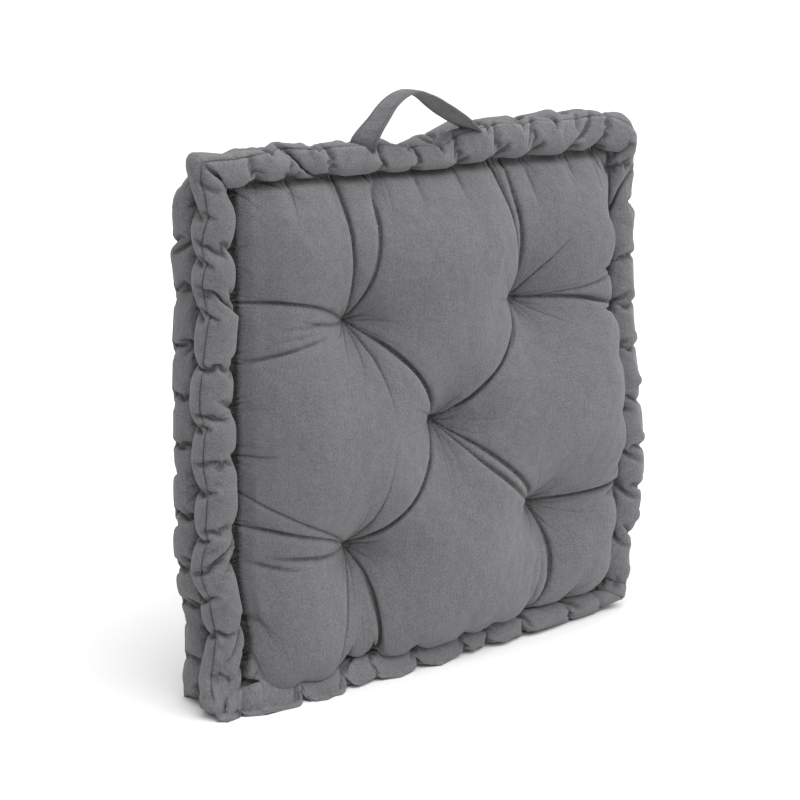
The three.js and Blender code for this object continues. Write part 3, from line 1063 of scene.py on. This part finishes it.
def tuft_threads(fine, fine_plane, material):
    """Two short stitches at the bottom of each tuft, in front and behind."""
    long = TUFT_STITCH + TUFT_STITCH_SPARE
    runs = []
    for spot in TUFTS:
        away = np.linalg.norm(fine_plane - place(spot), axis=-1)
        pit = np.array(fine[np.unravel_index(away.argmin(), away.shape)])
        for turn in (np.array, turned):
            for shift in (-TUFT_STITCH / 4, TUFT_STITCH / 4):
                middle = pit + (0, -TUFT_STITCH_LIFT, shift)
                ends = turn(middle + np.outer((-0.5, 0.5), (long, 0, 0)))
                out = np.tile(turn(np.array([0.0, -1.0, 0.0])), (2, 1))
                runs.append((rest_shape(ends), out, np.array([0.0, long])))
    return stitches("tuft_stitching", runs, TUFT_STITCH, material)


def unit(vectors):
    return vectors / np.linalg.norm(vectors, axis=-1, keepdims=True)


def length_along(points):
    return np.concatenate([[0], np.cumsum(np.linalg.norm(np.diff(points, axis=0), axis=1))])


def read_at(spots, length, rows):
    """The rows that belong at those spots, between the given rows at the given lengths."""
    return np.stack([np.interp(spots, length, column) for column in rows.T], axis=1)


def smooth_path(points, count):
    """Even points on a smooth curve through the given ones."""
    points = np.asarray(points, float)
    knots = length_along(points)
    slopes = np.gradient(points, knots, axis=0)
    fine = np.linspace(0, knots[-1], 20 * count)
    cell = np.clip(np.searchsorted(knots, fine, side="right") - 1, 0, len(knots) - 2)
    width = (knots[cell + 1] - knots[cell])[:, None]
    t = (fine - knots[cell])[:, None] / width
    curve = (
        (2 * t**3 - 3 * t**2 + 1) * points[cell]
        + (t**3 - 2 * t**2 + t) * width * slopes[cell]
        + (3 * t**2 - 2 * t**3) * points[cell + 1]
        + (t**3 - t**2) * width * slopes[cell + 1]
    )
    length = length_along(curve)
    even = np.linspace(0, length[-1], count)
    return read_at(even, length, curve), even


def strap_frame(count):
    """Along the strap: its middle line, the way across it, the way out of its face, and the length."""
    route = [row[:3] for row in STRAP_ROUTE]
    middle, length = smooth_path(route, count)
    knots = np.linspace(0, 1, len(STRAP_ROUTE))
    turn, dip = (
        np.radians(np.interp(np.linspace(0, 1, count), knots, [row[column] for row in STRAP_ROUTE]))
        for column in (3, 4)
    )
    window = 2 * STRAP_TURN_EASE + 1
    turn = np.convolve(np.pad(turn, STRAP_TURN_EASE, mode="edge"), np.ones(window) / window, mode="valid")
    along = unit(np.gradient(middle, axis=0))
    across = np.stack([np.cos(turn), np.sin(turn), 0 * turn], axis=1)
    across = unit(across - along * (across * along).sum(axis=1, keepdims=True))
    across = across * np.cos(dip)[:, None] + np.cross(along, across) * np.sin(dip)[:, None]
    return middle, across, np.cross(along, across), length


def wave(length, size, radian, start):
    return size * np.sin(length / radian + start)


def build_strap(material, thread):
    """The carrying strap from one sewn end to the other, with a row of stitches along each edge."""
    middle, across, face, length = strap_frame(STRAP_STEPS)
    half = STRAP_WIDTH / 2
    thick = STRAP_THICK / 2
    profile = [(inset - half, height * thick) for inset, height in STRAP_PROFILE]
    profile += [(-x, y) for x, y in reversed(profile)]
    profile = np.array(profile + [(x, -y) for x, y in profile[-2:0:-1]])
    uneven = sum(wave(length, *shape) for shape in STRAP_UNEVEN)
    width = profile[:, 0] * (1 + uneven[:, None])
    cup = wave(length, *STRAP_CUP)[:, None] * (1 - (profile[:, 0] / half) ** 2)
    points = (
        middle[:, None]
        + across[:, None] * width[..., None]
        + face[:, None] * (profile[:, 1] + cup)[..., None]
    )
    numbers = np.arange(points.shape[0] * points.shape[1]).reshape(points.shape[:2])
    around = np.cumsum(np.linalg.norm(np.roll(profile, -1, axis=0) - profile, axis=1))
    uv = np.stack(np.meshgrid(around, length), axis=-1)
    quads = [quads_of(numbers, True)]
    strap = smooth_mesh("strap", points.reshape(-1, 3), quads, uv.reshape(-1, 2), material)
    runs = []
    for edge in (STITCH_INSET - half, half - STITCH_INSET):
        for side in (-1, 1):
            row = middle + across * edge + face * side * STITCH_REST * thick
            runs.append((row, face * side, length))
    return strap, stitches("strap_stitching", runs, STITCH_LENGTH, thread)


def stitches(name, runs, size_along, material):
    """Rows of short threads lying on a surface, each row given as its line, the way out and the length."""
    points = []
    quads = []
    ring = np.linspace(0, 2 * math.pi, STITCH_SIDES + 1)[:-1]
    size, height = STITCH_RADIUS * np.array(STITCH_SHAPE).T
    steps = len(STITCH_SHAPE)
    numbers = np.arange(steps * STITCH_SIDES).reshape(steps, STITCH_SIDES)
    for line, out, length in runs:
        for start in np.arange(length[0] + STITCH_START, length[-1] - size_along, size_along + STITCH_GAP):
            t = start + size_along * np.linspace(0, 1, steps)
            at = read_at(t, length, line)
            lift = read_at(t, length, out)
            side = np.cross(unit(at[-1] - at[0]), lift)
            at = at + lift * height[:, None]
            tube = (
                at[:, None]
                + side[:, None] * (size[:, None] * np.cos(ring))[..., None]
                + lift[:, None] * (size[:, None] * np.sin(ring))[..., None]
            )
            quads.append(quads_of(len(points) * numbers.size + numbers, True))
            points.append(tube.reshape(-1, 3))
    points = np.concatenate(points)
    return smooth_mesh(name, points, quads, points[:, ::2], material)


def new_material(name):
    material = bpy.data.materials.new(name)
    material.use_nodes = True
    return material, material.node_tree, material.node_tree.nodes["Principled BSDF"]


def connect(tree, node, **inputs):
    """Sets a node's inputs, which are values or other nodes' outputs. An input's number follows a _."""
    for key, value in inputs.items():
        socket = node.inputs[int(key[1:])] if key[0] == "_" else node.inputs[key.replace("_", " ")]
        if isinstance(value, bpy.types.NodeSocket):
            tree.links.new(value, socket)
        else:
            socket.default_value = value


def add_node(tree, kind, settings=None, **inputs):
    node = tree.nodes.new(kind)
    for key, value in (settings or {}).items():
        setattr(node, key, value)
    connect(tree, node, **inputs)
    return node


def math_node(tree, operation, *values):
    """The result of a sum on values or other nodes' outputs."""
    inputs = {f"_{number}": value for number, value in enumerate(values)}
    return add_node(tree, "ShaderNodeMath", {"operation": operation}, **inputs).outputs[0]


def brushed_cloth(name, colour):
    """Matt brushed cotton: a plain weave under a short nap, paler where it is rubbed on ridges, and with
    painted shade in hollows, creases, the seam and the ditch by the rolls.
    """
    material, tree, shader = new_material(name)
    uv = add_node(tree, "ShaderNodeUVMap", {"uv_map": "cloth"}).outputs[0]
    wear_and_painted_shade = add_node(tree, "ShaderNodeAttribute", {"attribute_name": "wear_and_painted_shade"}).outputs["Fac"]

    def noise(scale, detail, stretch=(1, 1, 1)):
        """Noise with features 1 / scale millimetres across, from -1 to 1."""
        spot = add_node(tree, "ShaderNodeMapping", _0=uv, Scale=[1000 * scale * s for s in stretch])
        node = add_node(
            tree, "ShaderNodeTexNoise", Vector=spot.outputs[0], Scale=1.0, Detail=detail, Roughness=0.6
        )
        spread = {"From_Min": 0.25, "From_Max": 0.75, "To_Min": -1.0, "To_Max": 1.0}
        return add_node(tree, "ShaderNodeMapRange", Value=node.outputs["Fac"], **spread).outputs[0]

    def plus(start, value, weight):
        return math_node(tree, "ADD", start, math_node(tree, "MULTIPLY", value, weight))

    def with_noise(start, layers):
        for scale, detail, weight, *stretch in layers:
            start = plus(start, noise(scale, detail, *stretch), weight)
        return start

    # Paler ridges as wear, and painted shade in hollows, creases, seams and ditches.
    shade = plus(with_noise(1.0, COVER_MOTTLE), wear_and_painted_shade, RIDGE_WEAR_AND_SHADE)
    shade = plus(shade, math_node(tree, "MINIMUM", wear_and_painted_shade, 0.0), HOLLOW_PAINTED_SHADE)
    tinted = add_node(tree, "ShaderNodeVectorMath", {"operation": "SCALE"}, _0=colour[:3], Scale=shade)
    rough = with_noise(COVER_ROUGHNESS, ROUGHNESS_CHANGES)
    # Weave: two sets of threads crossing, then the nap over them.
    threads = [
        add_node(
            tree,
            "ShaderNodeTexWave",
            {"wave_type": "BANDS", "bands_direction": direction, "wave_profile": "SIN"},
            Vector=uv,
            Scale=1000 / WEAVE_RADIAN / WAVE_RADIANS,
            Distortion=1.5,
            Detail=2.0,
            Detail_Scale=1.5,
        ).outputs["Fac"]
        for direction in ("X", "Y")
    ]
    weave = math_node(tree, "MULTIPLY", math_node(tree, "MULTIPLY", *threads), WEAVE_HEIGHT)
    height = with_noise(weave, COVER_BUMPS)
    bump = add_node(tree, "ShaderNodeBump", Height=height, Strength=1.0, Distance=MM)
    connect(tree, shader, Base_Color=tinted.outputs[0], Roughness=rough, Normal=bump.outputs[0])
    connect(tree, shader, Specular_IOR_Level=0.15, Sheen_Weight=0.2, Sheen_Roughness=0.6)
    return material


def sewing_thread(name, colour):
    """Twisted thread: fine slanting strands, and small changes of shade."""
    material, tree, shader = new_material(name)
    spot = add_node(tree, "ShaderNodeTexCoord").outputs["Object"]
    slanting = {"bands_direction": "DIAGONAL"}
    twist = add_node(
        tree, "ShaderNodeTexWave", slanting, Vector=spot, Scale=THREAD_TWIST, Distortion=0.6
    )
    ramp = add_node(tree, "ShaderNodeValToRGB", _0=twist.outputs["Fac"])
    ramp.color_ramp.elements[0].color = [THREAD_SHADE * c for c in colour[:3]] + [1]
    ramp.color_ramp.elements[1].color = colour
    bump = add_node(tree, "ShaderNodeBump", Height=twist.outputs["Fac"], Strength=0.5, Distance=0.2 * MM)
    connect(tree, shader, Base_Color=ramp.outputs[0], Normal=bump.outputs[0], Roughness=0.7)
    return material


def build_floor():
    """A plain pale floor, large enough to fill the view."""
    mesh = bpy.data.meshes.new("floor")
    turns = [(-1, -1), (1, -1), (1, 1), (-1, 1)]
    mesh.from_pydata([(FLOOR_REACH * x, FLOOR_REACH * y, 0) for x, y in turns], [], [(0, 1, 2, 3)])
    material, tree, shader = new_material("floor")
    connect(tree, shader, Base_Color=FLOOR_COLOUR, Roughness=0.9, Specular_IOR_Level=0.1)
    mesh.materials.append(material)
    add_object("floor", mesh)


def build_light():
    """Soft studio light: a surround that is brightest overhead and a little to the front and right."""
    scene = bpy.context.scene
    scene.view_settings.view_transform = "Standard"
    scene.world = bpy.data.worlds.new("studio")
    scene.world.use_nodes = True
    tree = scene.world.node_tree
    way = add_node(tree, "ShaderNodeTexCoord").outputs["Generated"]
    light = Vector(LIGHT_FROM).normalized()
    toward = add_node(tree, "ShaderNodeVectorMath", {"operation": "DOT_PRODUCT"}, _0=way, _1=light)
    ahead = math_node(tree, "MAXIMUM", toward.outputs["Value"], 0.0)
    focus = math_node(tree, "POWER", ahead, LIGHT_FOCUS)
    bright = math_node(tree, "MULTIPLY_ADD", focus, LIGHT_STRENGTH, SURROUND_STRENGTH)
    connect(tree, tree.nodes["Background"], Color=(1, 1, 1, 1), Strength=bright)


def build_camera():
    azimuth = math.radians(CAMERA_AZIMUTH)
    elevation = math.radians(CAMERA_ELEVATION)
    level = math.cos(elevation)
    back = Vector((math.sin(azimuth) * level, -math.cos(azimuth) * level, math.sin(elevation)))
    data = bpy.data.cameras.new("camera")
    data.lens = CAMERA_LENS
    data.sensor_width = CAMERA_SENSOR
    camera = add_object("camera", data)
    camera.location = Vector(CAMERA_TARGET) + CAMERA_DISTANCE * back
    camera.rotation_euler = (-back).to_track_quat("-Z", "Y").to_euler()
    bpy.context.scene.camera = camera


def main():
    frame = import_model()
    cover = brushed_cloth("cover_cloth", COVER_COLOUR)
    thread = sewing_thread("sewing_thread", THREAD_COLOUR)
    pieces, fine, fine_plane = build_cover(cover)
    tufting = tuft_threads(fine, fine_plane, thread)
    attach(tufting, "cushion")
    strap, strap_stitching = build_strap(cover, thread)
    for piece in pieces.values():
        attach(piece, "cushion")
    for piece in (strap, strap_stitching):
        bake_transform(piece)
    inner = [node for node in frame["nodes"] if "filling" in node]
    ties = [node for node in frame["nodes"] if "tuft" in node]
    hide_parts(*ties)
    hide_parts("front_panel", *inner)
    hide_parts("back_panel")
    for edge in ("top", "bottom", "left", "right"):
        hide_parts(edge + "_boxing")
    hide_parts("strap_loop", "strap_end_left", "strap_end_right")
    build_floor()
    build_light()
    build_camera()


main()
